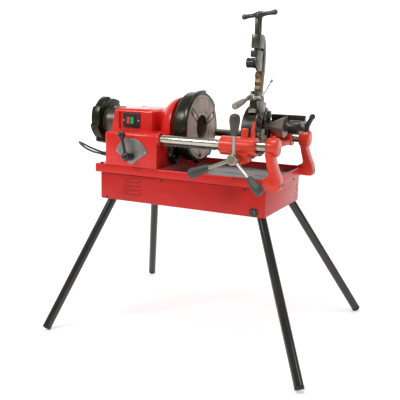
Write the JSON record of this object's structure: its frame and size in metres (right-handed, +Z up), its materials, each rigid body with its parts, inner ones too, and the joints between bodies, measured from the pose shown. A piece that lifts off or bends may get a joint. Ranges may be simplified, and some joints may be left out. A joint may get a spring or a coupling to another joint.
{
  "type": "pipe threading machine",
  "caption": "Pipe threading machine on a splayed tube stand: hollow spindle with hand chucks, and a rail carriage carrying a swing-up cutter, die head and reamer.",
  "frame": {"origin": "on the floor, at the middle of the machine's footprint box, measured without the mains lead", "axes": "+Z up; +X along the spindle, from the headstock to the tool carriage; -Y towards the operator"},
  "size_m": [1.0437, 0.808, 1.1919],
  "materials": {
    "red_paint": "gloss enamel",
    "black_gloss": "gloss black",
    "black_rubber": "matt",
    "grey_plastic": "matt moulded",
    "cord_jacket": "semi-matt jacket",
    "dark_cast_iron": "blackened",
    "bronze": "machined",
    "machined_steel": "machined",
    "chrome": "bright",
    "stop_red": "semi-gloss",
    "start_green": "semi-gloss"
  },
  "bodies": {
    "base": {"cabinet": "red_paint", "drain_plug": "black_gloss", "leg_front_left": "black_gloss", "leg_rear_left": "black_gloss", "leg_front_right": "black_gloss", "leg_rear_right": "black_gloss", "leg_cap_front_left": "black_rubber", "leg_cap_rear_left": "black_rubber", "leg_cap_front_right": "black_rubber", "leg_cap_rear_right": "black_rubber", "base_pan": "red_paint", "chip_tray": "dark_cast_iron", "headstock_housing": "red_paint", "front_bush": "bronze", "rear_bush": "bronze", "motor": "dark_cast_iron", "oil_pump": "black_gloss", "switch_unit": "grey_plastic", "sector_plate": "machined_steel", "front_rail": "chrome", "rear_rail": "chrome", "rail_bracket_front": "red_paint", "rail_bracket_rear": "red_paint", "feed_rack": "machined_steel", "cord_gland": "black_rubber", "power_cord": "cord_jacket", "cord_coil": "cord_jacket", "power_plug": "black_rubber"},
    "spindle": {"spindle": "machined_steel", "spindle_gear": "machined_steel", "chuck_body": "machined_steel", "rear_sleeve": "machined_steel"},
    "idler": {"idler_gear": "machined_steel"},
    "pinion": {"motor_pinion": "machined_steel"},
    "front_ring": {"chuck_ring": "black_gloss"},
    "jaw_1": {"chuck_jaw_1": "machined_steel"},
    "jaw_2": {"chuck_jaw_2": "machined_steel"},
    "jaw_3": {"chuck_jaw_3": "machined_steel"},
    "back_ring": {"rear_ring": "black_gloss"},
    "lever": {"gear_lever": "black_gloss", "lever_knob": "black_rubber"},
    "stop": {"stop_button": "stop_red"},
    "start": {"start_button": "start_green"},
    "carriage": {"carriage": "red_paint"},
    "handwheel": {"feed_shaft": "machined_steel", "feed_wheel": "chrome", "grip_1": "grey_plastic", "grip_2": "grey_plastic", "grip_3": "grey_plastic"},
    "die_head": {"die_head": "dark_cast_iron"},
    "die_lever": {"die_lever": "chrome"},
    "die_clamp": {"die_clamp": "chrome"},
    "cutter": {"cutter_frame": "dark_cast_iron"},
    "cutter_wheel": {"cutter_wheel": "machined_steel"},
    "cutter_slide": {"cutter_slide": "dark_cast_iron"},
    "cutter_screw": {"cutter_screw": "black_gloss"},
    "roller_1": {"cutter_roller_1": "black_gloss"},
    "roller_2": {"cutter_roller_2": "black_gloss"},
    "reamer_arm": {"reamer_arm": "dark_cast_iron"},
    "reamer": {"reamer": "machined_steel"}
  },
  "joints": [
    {"name": "spindle_turn", "type": "hinge", "parent": "base", "child": "spindle", "pos_m": [-0.0525, 0, 0.757], "axis": [1, 0, 0], "continuous": true},
    {"name": "idler_turn", "type": "hinge", "parent": "base", "child": "idler", "pos_m": [-0.2225, 0, 0.659], "axis": [1, 0, 0], "continuous": true},
    {"name": "pinion_turn", "type": "hinge", "parent": "base", "child": "pinion", "pos_m": [-0.2225, 0, 0.5996], "axis": [1, 0, 0], "continuous": true},
    {"name": "front_ring_turn", "type": "hinge", "parent": "spindle", "child": "front_ring", "pos_m": [-0.0725, 0, 0.757], "axis": [1, 0, 0], "range_deg": [0, 100]},
    {"name": "jaw_1_slide", "type": "slide", "parent": "spindle", "child": "jaw_1", "axis": [0, 0.7986, -0.6018], "range_m": [0, 0.03]},
    {"name": "jaw_2_slide", "type": "slide", "parent": "spindle", "child": "jaw_2", "axis": [0, -0.9205, -0.3907], "range_m": [0, 0.03]},
    {"name": "jaw_3_slide", "type": "slide", "parent": "spindle", "child": "jaw_3", "axis": [0, 0.1219, 0.9925], "range_m": [0, 0.03]},
    {"name": "back_ring_turn", "type": "hinge", "parent": "spindle", "child": "back_ring", "pos_m": [-0.4725, 0, 0.757], "axis": [1, 0, 0], "range_deg": [0, 90]},
    {"name": "gear_lever_turn", "type": "hinge", "parent": "base", "child": "lever", "pos_m": [-0.236, -0.22, 0.653], "axis": [0, 1, 0], "range_deg": [-30, 58]},
    {"name": "stop_press", "type": "slide", "parent": "base", "child": "stop", "axis": [0, 1, 0], "range_m": [0, 0.003], "stiffness_N_per_m": 400},
    {"name": "start_press", "type": "slide", "parent": "base", "child": "start", "axis": [0, 1, 0], "range_m": [0, 0.003], "stiffness_N_per_m": 400},
    {"name": "carriage_slide", "type": "slide", "parent": "base", "child": "carriage", "axis": [1, 0, 0], "range_m": [-0.155, 0.0175]},
    {"name": "handwheel_turn", "type": "hinge", "parent": "carriage", "child": "handwheel", "pos_m": [0.1815, -0.22, 0.681], "axis": [0, 1, 0], "range_deg": [-54, 464]},
    {"name": "die_head_swing", "type": "hinge", "parent": "carriage", "child": "die_head", "pos_m": [0.1475, 0.179, 0.768], "axis": [1, 0, 0], "range_deg": [-70, 0]},
    {"name": "die_lever_turn", "type": "hinge", "parent": "die_head", "child": "die_lever", "pos_m": [0.1465, -0.012, 0.879], "axis": [1, 0, 0], "range_deg": [-35, 0]},
    {"name": "die_clamp_turn", "type": "hinge", "parent": "die_head", "child": "die_clamp", "pos_m": [0.1665, 0.03, 0.872], "axis": [0, 1, 0], "range_deg": [-50, 20]},
    {"name": "cutter_swing", "type": "hinge", "parent": "carriage", "child": "cutter", "pos_m": [0.0985, 0.179, 0.768], "axis": [1, 0, 0], "range_deg": [0, 78]},
    {"name": "cutter_wheel_turn", "type": "hinge", "parent": "cutter", "child": "cutter_wheel", "pos_m": [0.0985, 0.142, 0.876], "axis": [1, 0, 0], "continuous": true},
    {"name": "cutter_feed", "type": "slide", "parent": "cutter", "child": "cutter_slide", "axis": [0, 0, -1], "range_m": [-0.007, 0.025]},
    {"name": "cutter_screw_turn", "type": "hinge", "parent": "cutter_slide", "child": "cutter_screw", "pos_m": [0.0985, 0.15, 1.1], "axis": [0, 0, -1], "range_deg": [-725, 2255]},
    {"name": "roller_1_turn", "type": "hinge", "parent": "cutter_slide", "child": "roller_1", "pos_m": [0.091, 0.112, 0.9965], "axis": [1, 0, 0], "continuous": true},
    {"name": "roller_2_turn", "type": "hinge", "parent": "cutter_slide", "child": "roller_2", "pos_m": [0.091, 0.158, 0.9965], "axis": [1, 0, 0], "continuous": true},
    {"name": "reamer_swing", "type": "hinge", "parent": "carriage", "child": "reamer_arm", "pos_m": [0.2235, 0.179, 0.768], "axis": [1, 0, 0], "range_deg": [-75, 6.4]},
    {"name": "reamer_slide", "type": "slide", "parent": "reamer_arm", "child": "reamer", "axis": [1, 0, 0], "range_m": [-0.005, 0.014]}
  ],
  "couplings": [
    {"joint": "idler_turn", "follows": "spindle_turn", "ratio": -4.158},
    {"joint": "pinion_turn", "follows": "spindle_turn", "ratio": 15.29},
    {"joint": "jaw_1_slide", "follows": "front_ring_turn", "m_per_rad": 0.01718},
    {"joint": "jaw_2_slide", "follows": "front_ring_turn", "m_per_rad": 0.01718},
    {"joint": "jaw_3_slide", "follows": "front_ring_turn", "m_per_rad": 0.01718},
    {"joint": "handwheel_turn", "follows": "carriage_slide", "rad_per_m": -52},
    {"joint": "cutter_screw_turn", "follows": "cutter_feed", "rad_per_m": 1570.8}
  ]
}
